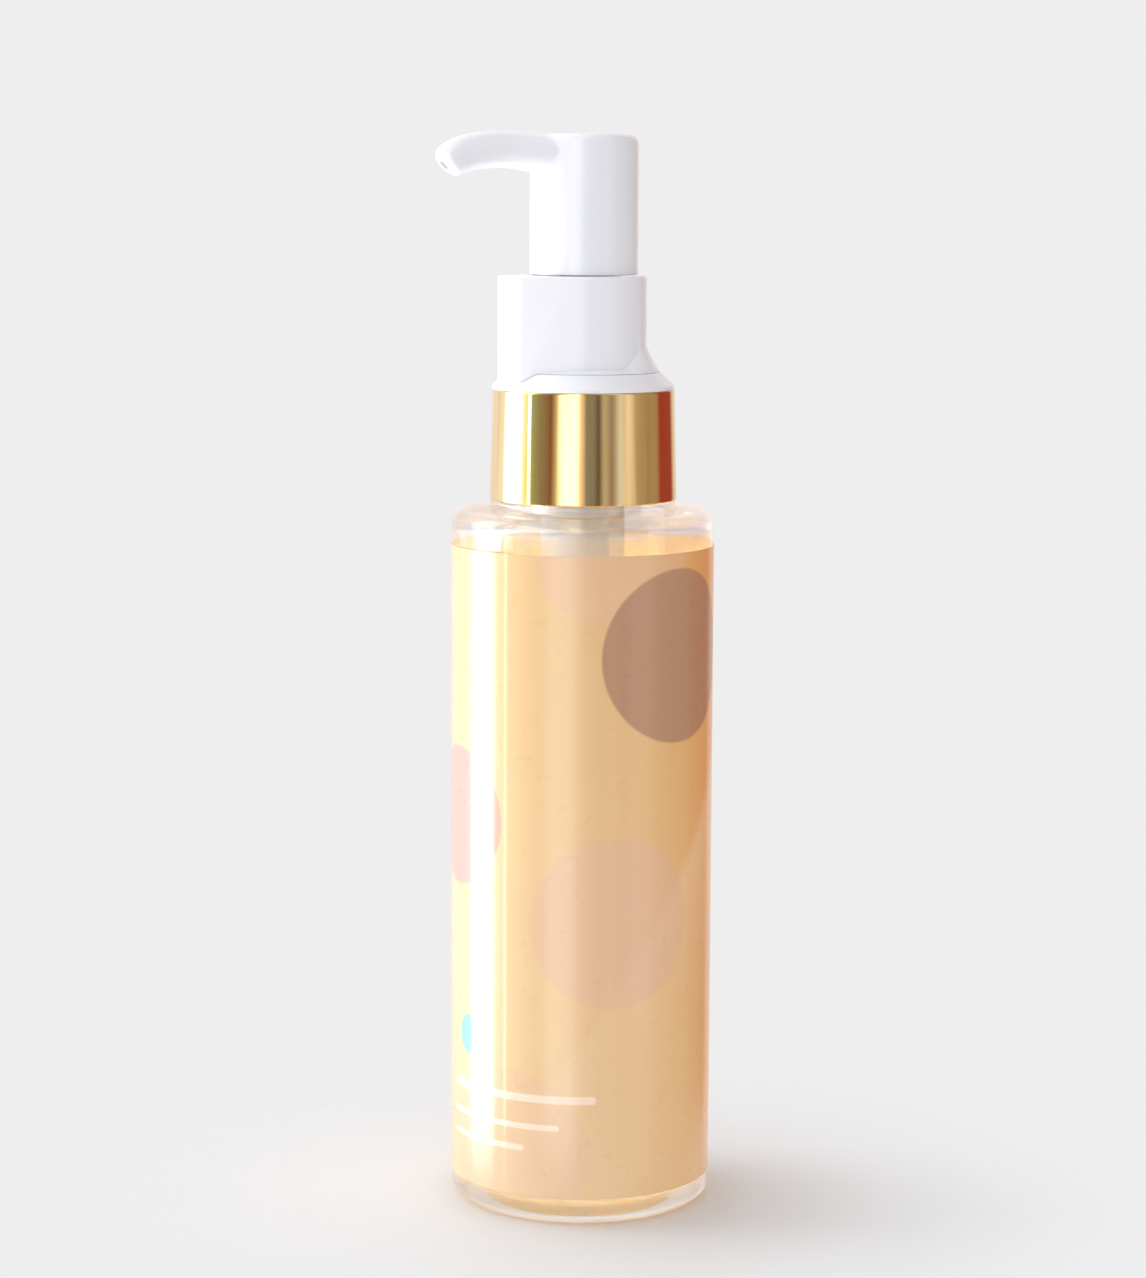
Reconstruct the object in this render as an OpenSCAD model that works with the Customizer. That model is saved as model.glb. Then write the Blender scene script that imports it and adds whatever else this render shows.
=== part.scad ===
// Pump oil bottle: clear 24-410 cylinder bottle, wrap label, gold collar, clip-lock lotion pump.
// The origin is the centre of the base, +Z is up and the spout points along -X.

/* [Bottle] */
// Outer diameter of the bottle body
bottle_d = 40; // [36:1:56]
// Height of the shoulder's outer edge above the base
shoulder_z = 107; // [95:0.1:150]
// Side wall of the bottle
bottle_wall = 1.2; // [0.8:0.1:1.6]
// Thickness of the base
base_t = 2.6; // [2:0.1:4]
// Radius of the rounded edge round the base
base_edge_r = 2.5; // [1.5:0.1:3.5]
// Depth of the push-up under the base
pushup_h = 0.9; // [0.3:0.1:1.2]
// Rise of the shoulder from its edge to the foot of the neck
shoulder_rise = 0.5; // [0.3:0.1:1]

/* [Neck finish] */
// Outer diameter over the neck thread
thread_d = 23.9; // [23:0.1:26]
// Radial height of the thread
thread_h = 1.2; // [0.8:0.1:1.3]
// Rise of the thread in one turn
thread_pitch = 3.175; // [3:0.025:4]
// Turns of thread on the neck
thread_turns = 1.5; // [1.25:0.25:1.75]
// Bore through the neck
neck_bore_d = 18; // [15.5:0.1:18.4]
// Height of the neck above its foot
neck_h = 14.2; // [14:0.1:18]
// Height of the clear foot of the neck above the shoulder edge
neck_foot_h = 1.4; // [1.2:0.1:5]

/* [Label and oil] */
// Height of the label's lower edge above the base
label_z0 = 4.3; // [3:0.1:20]
// Distance from the label's upper edge to the shoulder edge
label_top_gap = 5.2; // [2:0.1:20]
// Thickness of the label film
label_t = 0.1; // [0.08:0.01:0.2]
// Width of the gap where the label's ends meet
label_seam = 1.2; // [0.5:0.1:6]
// Angle of that gap round the bottle, from the rear of the head
label_seam_turn = 63; // [0:1:359]
// Empty height between the oil and the shoulder edge
oil_gap = 9.1; // [4:0.1:30]

/* [Closure and collar] */
// Wall of the closure's skirt at its top
skirt_wall = 1.15; // [0.9:0.05:1.5]
// Thickness of the metal collar
collar_t = 0.45; // [0.3:0.05:0.6]
// How much wider the collar's radius is at its foot than at its top
collar_draft = 0.45; // [0:0.05:0.8]
// Upright edge of the closure above the collar
shoulder_edge_h = 0.5; // [0.3:0.1:1]
// Height of the closure's cone
shoulder_cone_h = 2.1; // [1.6:0.1:3]
// How far the cone runs inwards
shoulder_cone_in = 2.25; // [1.5:0.05:2.6]

/* [Lock clip] */
// Wall of the clip
clip_wall = 1.05; // [0.8:0.05:1.3]
// Thickness of the clip's floor
clip_floor_t = 1.2; // [0.8:0.1:2]
// Height of the clip's flared foot
clip_flare_h = 4.2; // [2:0.1:5]
// How far the finger nose stands out from the clip, under the spout
nose_reach = 3.25; // [2:0.05:5]
// Width of the finger nose's flat face
nose_w = 7.5; // [5:0.1:10]

/* [Head] */
// Diameter of the head
head_d = 16.4; // [15.6:0.1:20]
// Height of the head
head_h = 20.9; // [18:0.1:26]
// Wall of the head's skirt
head_wall = 1.1; // [0.8:0.1:1.4]
// Radius of the head's top edge
head_edge_r = 1.4; // [0.6:0.1:2]
// Reach of the spout from the axis
spout_reach = 25; // [20:0.5:40]
// Height of the spout
spout_h = 5.5; // [4.5:0.1:6.5]
// How far the middle of the spout's mouth lies below its root
spout_drop = 2.1; // [0:0.1:5]
// Bore of the spout
spout_bore_d = 2.4; // [1.6:0.1:3]

/* [Pump] */
// Stroke of the pump
stroke = 12; // [8:0.5:14]
// Diameter of the stem
stem_d = 7.2; // [6.4:0.1:7.4]
// Bore of the stem
stem_bore_d = 4.4; // [4:0.1:4.8]
// Bore of the pump chamber
chamber_d = 11; // [10.4:0.1:11.8]
// Wall of the pump housing
housing_wall = 0.9; // [0.7:0.1:1.2]
// Thickness of the housing's flange
flange_t = 1.3; // [1:0.1:2]
// Thickness of the neck gasket
gasket_t = 1.2; // [0.8:0.1:2]
// Height of the piston
piston_h = 5.9; // [4.5:0.1:8]
// Outer diameter of the dip tube
tube_d = 4; // [3.4:0.1:4.4]
// Bore of the dip tube
tube_bore_d = 2.6; // [2:0.1:3]
// Distance from the base to the dip tube's lowest point
tube_z0 = 4; // [3.6:0.1:12]
// Diameter of the inlet ball
inlet_ball_d = 4; // [3.6:0.1:4.4]
// Diameter of the outlet ball
outlet_ball_d = 3; // [2.8:0.1:3.2]
// How far the inlet ball lifts
inlet_lift = 1.5; // [1:0.1:2.5]
// How far the outlet ball lifts
outlet_lift = 1.2; // [0.8:0.1:2]
// Wire of the return spring
wire_d = 0.7; // [0.5:0.05:0.8]
// Turns of the return spring
spring_turns = 6; // [5:1:8]

/* [Fits] */
// Radial clearance between sliding pump parts
slide_clear = 0.05; // [0.03:0.01:0.09]
// Gap between faces that turn or slide on each other
face_gap = 0.05; // [0.03:0.01:0.1]
// Loose radial clearance round moving parts
free_clear = 0.3; // [0.25:0.05:0.5]

/* [Hidden] */
$fn = 96;
eps = 0.01;

// Bottle
bottle_r = bottle_d / 2;
bottle_in_r = bottle_r - bottle_wall;
shoulder_edge_r = 1.6;
base_in_r = 2;
foot_ring_w = 3;
pushup_r = bottle_r - base_edge_r - foot_ring_w;
pushup_sphere_r = (pushup_r * pushup_r + pushup_h * pushup_h) / (2 * pushup_h);

// Neck finish
thread_r = thread_d / 2;
neck_r = thread_r - thread_h;
neck_bore_r = neck_bore_d / 2;
neck_foot_z = shoulder_z + neck_foot_h;
neck_top_z = neck_foot_z + neck_h;
neck_foot_fillet = min(0.8, neck_foot_h - shoulder_rise - 0.1);
ridge_root_w = 2.2;
ridge_crest_w = 1;
thread_z0 = neck_foot_z + 4.4;
ridge_bury = 0.3;

// Closure and collar: the collar's size follows from the thread inside it
closure_bore_r = thread_r + free_clear;
skirt_top_r = closure_bore_r + skirt_wall;
collar_top_r = skirt_top_r + collar_t;
collar_foot_r = collar_top_r + collar_draft;
neck_foot_r = collar_foot_r - 0.2;
collar_z0 = neck_foot_z + 0.2;
gasket_z0 = neck_top_z;
flange_z0 = gasket_z0 + gasket_t;
flange_z1 = flange_z0 + flange_t;
ceiling_z = flange_z1 + face_gap;
collar_z1 = ceiling_z + 0.25;
closure_top_z = collar_z1 + shoulder_edge_h + shoulder_cone_h;
closure_top_r = collar_top_r - shoulder_cone_in;
closure_ridge_root_w = 1.3;
closure_ridge_crest_w = 0.6;
closure_ridge_turns = 1;

// Clip: its bore lets the head through, its slot lets the stem through
head_r = head_d / 2;
stem_r = stem_d / 2;
clip_in_r = head_r + free_clear;
clip_r = clip_in_r + clip_wall;
clip_foot_r = closure_top_r;
clip_slot_w = stem_d + 2 * free_clear + 0.4;
clip_z0 = closure_top_z + face_gap;
clip_bottom_gap = 1.25;
clip_h = clip_floor_t + stroke + clip_bottom_gap;
clip_z1 = clip_z0 + clip_h;

// Head
head_z0 = clip_z1 + free_clear;
head_z1 = head_z0 + head_h;
socket_depth = 8.2;
socket_wall = 1.6;
spout_r = spout_h / 2;
spout_z = head_z1 - spout_r - 0.1;
spout_root_x = 3;
spout_mouth_r = spout_r * 0.89;
mouth_pitch = 45;

// Pump
chamber_r = chamber_d / 2;
housing_r = chamber_r + housing_wall;
housing_rim_z = ceiling_z + 1.4;
flange_r = neck_r - 0.15;
chaplet_r = housing_r + 0.7;
chaplet_top_z = closure_top_z - 0.1;
plug_z0 = flange_z0 - 4.3;
wiper_t = 0.8;
wiper_z0 = plug_z0 - wiper_t;
piston_z1 = wiper_z0 - face_gap;
piston_z0 = piston_z1 - piston_h;
carrier_flange_t = 1.2;
carrier_z0 = piston_z0 - carrier_flange_t;
carrier_r = 2.8;
carrier_bore_r = 1.3;
carrier_plug_h = 5.4;
stem_bore_r = stem_bore_d / 2;
stem_z1 = head_z0 + socket_depth;
spring_mean_r = chamber_r - free_clear - wire_d - 0.65;
spring_closed_h = (spring_turns + 1) * wire_d + 2.4;
spring_h = stroke + spring_closed_h;
spring_z1 = carrier_z0 - face_gap;
spring_seat_z = spring_z1 - spring_h;

// Inlet valve under the spring
inlet_r = inlet_ball_d / 2;
inlet_pocket_r = inlet_r + 0.5;
cage_t = 1.4;
cage_r = inlet_pocket_r + 0.7;
cage_z0 = spring_seat_z - cage_t;
inlet_z = cage_z0 - face_gap - inlet_lift - inlet_r;
inlet_hole_r = 1.2;
inlet_seat_z = inlet_z - inlet_r * sqrt(2) - face_gap;
inlet_cone_z = inlet_seat_z + inlet_pocket_r;
tube_r = tube_d / 2;
tube_bore_r = tube_bore_d / 2;
tube_socket_h = 7;
tube_stop_z = inlet_seat_z + inlet_hole_r - 1;
tube_socket_z = tube_stop_z - tube_socket_h;
tube_socket_r = tube_r + 1.2;
valve_body_r = cage_r + 0.9;
valve_cone_z = spring_seat_z - 1.2;

// Outlet valve in the top of the stem
outlet_r = outlet_ball_d / 2;
outlet_pocket_r = outlet_r + 0.25;
outlet_z = stem_z1 - face_gap - outlet_lift - outlet_r;
outlet_hole_r = 0.9;
outlet_seat_z = outlet_z - outlet_r * sqrt(2) - face_gap;
outlet_cone_z = outlet_seat_z + outlet_pocket_r;
stem_neck_z = outlet_seat_z + outlet_hole_r - 1;

// Oil
oil_z1 = shoulder_z - oil_gap;

// Points and faces of a closed tube through rings that all have the same number of points
function tube_faces(rings, sides) = concat(
    [for (i = [0:rings - 2]) for (j = [0:sides - 1])
        [i * sides + j, i * sides + (j + 1) % sides, (i + 1) * sides + j]],
    [for (i = [0:rings - 2]) for (j = [0:sides - 1])
        [i * sides + (j + 1) % sides, (i + 1) * sides + (j + 1) % sides, (i + 1) * sides + j]],
    [[for (j = [sides - 1:-1:0]) j]],
    [[for (j = [0:sides - 1]) (rings - 1) * sides + j]]
);

// A helical ridge with a tapered start and end; its root radius may lie outside its crest
module thread_ridge(root_r, crest_r, root_w, crest_w, turns, z0) {
    steps = round(turns * 36);
    run_in = 5;
    points = [for (i = [0:steps])
        let (a = 360 * turns * i / steps)
        let (z = z0 + thread_pitch * turns * i / steps)
        let (grow = max(0.1, min(1, i / run_in, (steps - i) / run_in)))
        let (r = root_r + (crest_r - root_r) * grow)
        let (order = crest_r > root_r ? [0, 1, 2, 3] : [3, 2, 1, 0])
        let (section = [
            [root_r, z - root_w / 2],
            [r, z - crest_w / 2],
            [r, z + crest_w / 2],
            [root_r, z + root_w / 2]
        ])
        for (k = order) [section[k][0] * cos(a), section[k][0] * sin(a), section[k][1]]
    ];
    polyhedron(points, tube_faces(steps + 1, 4), convexity = 6);
}

// A flat ring
module ring(outer_r, inner_r, z0, z1) {
    translate([0, 0, z0])
        difference() {
            cylinder(r = outer_r, h = z1 - z0);
            translate([0, 0, -eps])
                cylinder(r = inner_r, h = z1 - z0 + 2 * eps);
        }
}

// Outline of half the bottle's outside, as for a lathe
module bottle_outside() {
    shoulder_foot_z = shoulder_z + shoulder_rise;
    square([bottle_r - base_edge_r, shoulder_z - shoulder_edge_r]);
    translate([0, base_edge_r])
        square([bottle_r, shoulder_z - shoulder_edge_r - base_edge_r]);
    translate([bottle_r - base_edge_r, base_edge_r])
        circle(r = base_edge_r);
    translate([bottle_r - shoulder_edge_r, shoulder_z - shoulder_edge_r])
        circle(r = shoulder_edge_r);
    polygon([
        [0, shoulder_z - shoulder_edge_r],
        [bottle_r - shoulder_edge_r, shoulder_z - shoulder_edge_r],
        [bottle_r - shoulder_edge_r, shoulder_z],
        [neck_foot_r + neck_foot_fillet, shoulder_foot_z],
        [0, shoulder_foot_z]
    ]);
    difference() {
        translate([0, shoulder_foot_z - eps])
            square([neck_foot_r + neck_foot_fillet, neck_foot_fillet + eps]);
        translate([neck_foot_r + neck_foot_fillet, shoulder_foot_z + neck_foot_fillet])
            circle(r = neck_foot_fillet);
    }
    translate([0, shoulder_foot_z])
        square([neck_foot_r, neck_foot_z - shoulder_foot_z]);
    square([neck_r, neck_top_z]);
}

// Outline of half the bottle's inside
module bottle_inside() {
    roof_z = shoulder_z - bottle_wall;
    translate([0, base_t])
        square([bottle_in_r - base_in_r, roof_z - base_t - base_in_r]);
    translate([0, base_t + base_in_r])
        square([bottle_in_r, roof_z - base_t - 2 * base_in_r]);
    translate([bottle_in_r - base_in_r, base_t + base_in_r])
        circle(r = base_in_r);
    polygon([
        [0, roof_z - base_in_r - eps],
        [bottle_in_r, roof_z - base_in_r - eps],
        [bottle_in_r - base_in_r, roof_z],
        [neck_bore_r, roof_z + shoulder_rise],
        [0, roof_z + shoulder_rise]
    ]);
    square([neck_bore_r, neck_top_z + 1]);
}

module half_plane() {
    translate([0, -1])
        square([4 * bottle_d, 4 * shoulder_z]);
}

module bottle() {
    color([0.93, 0.95, 0.96, 0.35]) {
        rotate_extrude()
            difference() {
                intersection() {
                    bottle_outside();
                    half_plane();
                }
                intersection() {
                    difference() {
                        bottle_inside();
                        square([2 * bottle_r, base_t]);
                    }
                    half_plane();
                }
                intersection() {
                    translate([0, pushup_h - pushup_sphere_r])
                        circle(r = pushup_sphere_r, $fn = 180);
                    half_plane();
                }
            }
        thread_ridge(neck_r - ridge_bury, thread_r, ridge_root_w, ridge_crest_w,
            thread_turns, thread_z0);
    }
}

// The pump's outside below the neck, grown by a gap, which the oil leaves free
module pump_hollow(gap) {
    translate([0, 0, base_t - 1])
        cylinder(r = tube_r + gap, h = oil_z1);
    translate([0, 0, tube_socket_z - gap])
        cylinder(r = tube_socket_r + gap, h = oil_z1);
    translate([0, 0, inlet_seat_z - gap])
        cylinder(r = valve_body_r + gap, h = oil_z1);
    translate([0, 0, valve_cone_z - gap])
        cylinder(r = housing_r + gap, h = oil_z1);
}

module oil_fill() {
    color([0.95, 0.78, 0.42, 0.6])
        difference() {
            rotate_extrude() {
                translate([0, base_t])
                    square([bottle_in_r - base_in_r, oil_z1 - base_t]);
                translate([0, base_t + base_in_r])
                    square([bottle_in_r, oil_z1 - base_t - base_in_r]);
                intersection() {
                    translate([bottle_in_r - base_in_r, base_t + base_in_r])
                        circle(r = base_in_r);
                    half_plane();
                }
            }
            pump_hollow(free_clear);
        }
}

module label_film() {
    label_z1 = shoulder_z - label_top_gap;
    color([0.95, 0.78, 0.52, 0.8])
        difference() {
            ring(bottle_r + label_t, bottle_r, label_z0, label_z1);
            rotate([0, 0, label_seam_turn])
                translate([bottle_r / 2, -label_seam / 2, label_z0 - 1])
                    cube([bottle_r, label_seam, label_z1 - label_z0 + 2]);
        }
}

module neck_gasket() {
    color([0.92, 0.92, 0.9])
        ring(neck_r - 0.1, neck_bore_r + 0.1, gasket_z0, gasket_z0 + gasket_t);
}

module pump_housing() {
    color([0.93, 0.94, 0.95])
        difference() {
            union() {
                translate([0, 0, flange_z0])
                    cylinder(r = flange_r, h = flange_t);
                translate([0, 0, valve_cone_z])
                    cylinder(r = housing_r, h = housing_rim_z - valve_cone_z);
                translate([0, 0, inlet_seat_z])
                    cylinder(r = valve_body_r, h = valve_cone_z - inlet_seat_z + eps);
                translate([0, 0, tube_socket_z])
                    cylinder(r = tube_socket_r, h = inlet_seat_z - tube_socket_z + eps);
            }
            translate([0, 0, spring_seat_z])
                cylinder(r = chamber_r, h = housing_rim_z);
            translate([0, 0, cage_z0])
                cylinder(r = cage_r, h = cage_t + eps);
            translate([0, 0, inlet_cone_z])
                cylinder(r = inlet_pocket_r, h = cage_z0 - inlet_cone_z + eps);
            translate([0, 0, inlet_seat_z + inlet_hole_r])
                cylinder(r1 = inlet_hole_r, r2 = inlet_pocket_r,
                    h = inlet_pocket_r - inlet_hole_r + eps);
            translate([0, 0, tube_stop_z - eps])
                cylinder(r = inlet_hole_r, h = inlet_seat_z + inlet_hole_r - tube_stop_z + 2 * eps);
            translate([0, 0, tube_socket_z - 1])
                cylinder(r = tube_r, h = tube_socket_h + 1);
            // Vent hole that lets air in as the oil goes down
            translate([0, 0, flange_z0 - 3.2])
                rotate([0, 90, 0])
                    cylinder(d = 0.9, h = 2 * housing_r);
        }
}

module dip_tube() {
    cut = 40;
    color([0.95, 0.96, 0.97, 0.7])
        difference() {
            ring(tube_r, tube_bore_r, tube_z0, tube_stop_z);
            translate([-tube_r, 0, tube_z0])
                rotate([0, -cut, 0])
                    translate([-tube_d, -tube_d, -4 * tube_d])
                        cube([4 * tube_d, 2 * tube_d, 4 * tube_d]);
        }
}

module inlet_ball() {
    color([0.75, 0.76, 0.78])
        translate([0, 0, inlet_z])
            sphere(r = inlet_r);
}

module inlet_ball_cage() {
    slot_w = 0.9;
    color([0.9, 0.91, 0.93])
        difference() {
            ring(cage_r, inlet_r - 0.7, cage_z0, cage_z0 + cage_t);
            for (a = [0, 90])
                rotate([0, 0, a])
                    translate([-inlet_pocket_r, -slot_w / 2, cage_z0 - 1])
                        cube([2 * inlet_pocket_r, slot_w, cage_t + 2]);
        }
}

module return_spring() {
    sides = 8;
    per_turn = 18;
    steps = spring_turns * per_turn;
    wire_r = wire_d / 2;
    rise = spring_h - wire_d;
    dead_turns = 0.5;
    points = [for (i = [0:steps])
        let (turn = i / per_turn)
        let (live = (turn - dead_turns) / (spring_turns - 2 * dead_turns))
        let (share = max(0, min(1, live)))
        let (a = 360 * turn)
        for (k = [0:sides - 1])
            let (b = 360 * k / sides)
            let (r = spring_mean_r + wire_r * cos(b))
            [r * cos(a), r * sin(a), spring_seat_z + wire_r + rise * share + wire_r * sin(b)]
    ];
    color([0.72, 0.73, 0.75])
        polyhedron(points, tube_faces(steps + 1, sides), convexity = 12);
}

module piston() {
    lip_h = 1.4;
    waist_r = chamber_r - 0.9;
    lip_r = chamber_r - slide_clear;
    color([0.88, 0.9, 0.92])
        difference() {
            union() {
                translate([0, 0, piston_z0])
                    cylinder(r = waist_r, h = piston_h);
                for (z = [piston_z0, piston_z1 - lip_h])
                    translate([0, 0, z])
                        cylinder(r = lip_r, h = lip_h);
            }
            translate([0, 0, piston_z0 - 1])
                cylinder(r = carrier_r, h = piston_h + 2);
            translate([0, 0, piston_z1 - 0.9])
                cylinder(r = stem_r + slide_clear, h = 1);
        }
}

module piston_carrier() {
    nose_h = 3;
    nose_r = spring_mean_r - wire_d / 2 - 0.35;
    color([0.86, 0.87, 0.9])
        difference() {
            union() {
                translate([0, 0, carrier_z0])
                    cylinder(r = chamber_r - 0.7, h = carrier_flange_t);
                translate([0, 0, carrier_z0 - nose_h])
                    cylinder(r = nose_r, h = nose_h + eps);
                translate([0, 0, carrier_z0])
                    cylinder(r = carrier_r, h = piston_z1 - 0.9 - carrier_z0);
                translate([0, 0, carrier_z0])
                    cylinder(r = stem_bore_r, h = piston_z1 - carrier_z0 + carrier_plug_h);
            }
            translate([0, 0, carrier_z0 - nose_h - 1])
                cylinder(r = carrier_bore_r,
                    h = piston_z1 - carrier_z0 + carrier_plug_h + nose_h + 2);
        }
}

module stem_wiper() {
    color([0.85, 0.86, 0.88])
        ring(chamber_r - 0.2, stem_r + slide_clear, wiper_z0, plug_z0);
}

module chaplet() {
    guide_r = stem_r + 2 * slide_clear;
    color([0.95, 0.95, 0.96]) {
        ring(chamber_r, guide_r, plug_z0, housing_rim_z);
        ring(chaplet_r, guide_r, housing_rim_z, chaplet_top_z);
        ring(chaplet_r, housing_r, ceiling_z + 0.1, housing_rim_z);
    }
}

module stem() {
    stem_z0 = piston_z1 - 0.9;
    color([0.96, 0.96, 0.97])
        difference() {
            translate([0, 0, stem_z0])
                cylinder(r = stem_r, h = stem_z1 - stem_z0);
            translate([0, 0, stem_z0 - 1])
                cylinder(r = stem_bore_r, h = stem_neck_z - stem_z0 + 1);
            translate([0, 0, stem_neck_z - eps])
                cylinder(r = outlet_hole_r, h = outlet_seat_z + outlet_hole_r - stem_neck_z + 2 * eps);
            translate([0, 0, outlet_seat_z + outlet_hole_r])
                cylinder(r1 = outlet_hole_r, r2 = outlet_pocket_r,
                    h = outlet_pocket_r - outlet_hole_r + eps);
            translate([0, 0, outlet_cone_z])
                cylinder(r = outlet_pocket_r, h = stem_z1 - outlet_cone_z + 1);
        }
}

module outlet_ball() {
    color([0.75, 0.76, 0.78])
        translate([0, 0, outlet_z])
            sphere(r = outlet_r);
}

// Middle line of the spout: a cubic curve from inside the head to the mouth, as [x, z, pitch]
function spout_end() = [
    spout_reach - spout_mouth_r * sin(mouth_pitch),
    spout_z - spout_drop
];
function spout_line(t) =
    let (p0 = [spout_root_x, spout_z])
    let (p3 = spout_end())
    let (p1 = [p0[0] + 0.45 * (p3[0] - p0[0]), spout_z + 0.45])
    let (p2 = p3 - 4.6 * [cos(mouth_pitch), -sin(mouth_pitch)])
    let (u = 1 - t)
    u * u * u * p0 + 3 * u * u * t * p1 + 3 * u * t * t * p2 + t * t * t * p3;
function spout_pitch(t) =
    let (d = spout_line(t + 0.01) - spout_line(t - 0.01))
    atan2(d[1], d[0]);
// Half width of the spout seen from above: wide where it leaves the head
function spout_half_w(t) = spout_r + (head_r - 1.6 - spout_r) * pow(max(0, 1 - t / 0.5), 2);

module spout_tube(from_t, to_t, rings, sides, bore) {
    points = [for (i = [0:rings - 1])
        let (t = from_t + (to_t - from_t) * i / (rings - 1))
        let (p = spout_line(t))
        let (pitch = spout_pitch(t))
        let (taper = t < 0.8 ? 1 : 1 - (1 - spout_mouth_r / spout_r) * (t - 0.8) / 0.2)
        let (half_w = bore ? spout_bore_d / 2 : spout_half_w(t) * taper)
        let (half_h = bore ? spout_bore_d / 2 : spout_r * taper)
        for (k = [0:sides - 1])
            let (a = -360 * k / sides)
            let (up = half_h * cos(a))
            [-(p[0] - up * sin(pitch)), half_w * sin(a), p[1] + up * cos(pitch)]
    ];
    polyhedron(points, tube_faces(rings, sides), convexity = 8);
}

// Outline of half the head's outside
module head_outside() {
    square([head_r, head_h - head_edge_r]);
    square([head_r - head_edge_r, head_h]);
    translate([head_r - head_edge_r, head_h - head_edge_r])
        circle(r = head_edge_r);
}

module pump_head() {
    socket_r = stem_r + socket_wall;
    crown_t = 2 * spout_r + 3.4;
    bypass_w = 0.9;
    color([0.97, 0.97, 0.98])
        difference() {
            union() {
                translate([0, 0, head_z0])
                    rotate_extrude()
                        head_outside();
                spout_tube(0, 1, 17, 20, false);
            }
            difference() {
                translate([0, 0, head_z0 - 1])
                    cylinder(r = head_r - head_wall, h = head_h - crown_t + 1);
                translate([0, 0, head_z0 + 1])
                    cylinder(r = socket_r, h = head_h);
            }
            translate([0, 0, head_z0 - 1])
                cylinder(r = stem_r, h = socket_depth + 1);
            translate([0, 0, stem_z1 - eps])
                cylinder(d = spout_bore_d, h = spout_z - stem_z1 + spout_bore_d / 2 + 0.1);
            for (a = [0, 90])
                rotate([0, 0, a])
                    translate([-outlet_pocket_r, -bypass_w / 2, stem_z1 - eps])
                        cube([2 * outlet_pocket_r, bypass_w, 1.2]);
            translate([-spout_root_x - 1.5, 0, spout_z])
                rotate([0, 90, 0])
                    cylinder(d = spout_bore_d - 0.2, h = spout_root_x + 1.5);
            spout_tube(0.03, 1.02, 12, 10, true);
        }
}

// Outline of half the clip's outside: an upright wall over a hollow-curved foot
module clip_outside() {
    flare_w = clip_foot_r - clip_r;
    square([clip_r, clip_h]);
    difference() {
        square([clip_foot_r, clip_flare_h]);
        translate([clip_foot_r + (clip_flare_h * clip_flare_h - flare_w * flare_w) / (2 * flare_w),
                clip_flare_h])
            circle(r = (clip_flare_h * clip_flare_h + flare_w * flare_w) / (2 * flare_w), $fn = 180);
    }
}

// Plan of the finger nose: two flat sides from its face that run into the clip's round wall
module nose_plan() {
    face_x = clip_r + nose_reach;
    half_w = nose_w / 2;
    corner_a = atan2(half_w, face_x);
    corner_r = norm([face_x, half_w]);
    touch_a = corner_a + acos(clip_r / corner_r);
    polygon([
        [-face_x, -half_w],
        [-face_x, half_w],
        [-clip_r * cos(touch_a), clip_r * sin(touch_a)],
        [0, 0],
        [-clip_r * cos(touch_a), -clip_r * sin(touch_a)]
    ]);
}

module lock_clip() {
    color([0.96, 0.96, 0.97])
        difference() {
            union() {
                translate([0, 0, clip_z0])
                    rotate_extrude()
                        clip_outside();
                translate([0, 0, clip_z0])
                    linear_extrude(clip_h)
                        nose_plan();
            }
            translate([0, 0, clip_z0 + clip_floor_t])
                cylinder(r = clip_in_r, h = clip_h);
            translate([0, 0, clip_z0 - 1])
                cylinder(d = clip_slot_w, h = clip_h);
            translate([0, -clip_slot_w / 2, clip_z0 - 1])
                cube([2 * clip_foot_r, clip_slot_w, clip_h + 2]);
        }
}

// Outline of half the closure's outside
module closure_outside() {
    polygon([
        [0, collar_z0],
        [skirt_top_r + collar_draft, collar_z0],
        [skirt_top_r, collar_z1],
        [collar_top_r, collar_z1],
        [collar_top_r, collar_z1 + shoulder_edge_h],
        [closure_top_r, closure_top_z],
        [0, closure_top_z]
    ]);
}

module closure() {
    color([0.96, 0.96, 0.97]) {
        difference() {
            rotate_extrude()
                closure_outside();
            translate([0, 0, collar_z0 - 1])
                cylinder(r = closure_bore_r, h = ceiling_z - collar_z0 + 1);
            translate([0, 0, ceiling_z - 1])
                cylinder(r = chaplet_r + 0.2, h = closure_top_z);
        }
        thread_ridge(closure_bore_r + ridge_bury, neck_r + free_clear,
            closure_ridge_root_w, closure_ridge_crest_w,
            closure_ridge_turns, thread_z0 - thread_pitch / 2);
    }
}

module gold_collar() {
    color([0.83, 0.62, 0.2])
        rotate_extrude()
            polygon([
                [skirt_top_r + collar_draft, collar_z0],
                [collar_foot_r, collar_z0],
                [collar_top_r, collar_z1],
                [skirt_top_r, collar_z1]
            ]);
}

bottle();
oil_fill();
label_film();
neck_gasket();
pump_housing();
dip_tube();
inlet_ball();
inlet_ball_cage();
return_spring();
piston();
piston_carrier();
stem_wiper();
chaplet();
stem();
outlet_ball();
pump_head();
lock_clip();
closure();
gold_collar();
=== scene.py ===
"""Pump oil bottle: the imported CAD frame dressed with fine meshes, materials, light and a camera."""
import math

import bmesh
import bpy
from mathutils import Matrix, Vector


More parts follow.
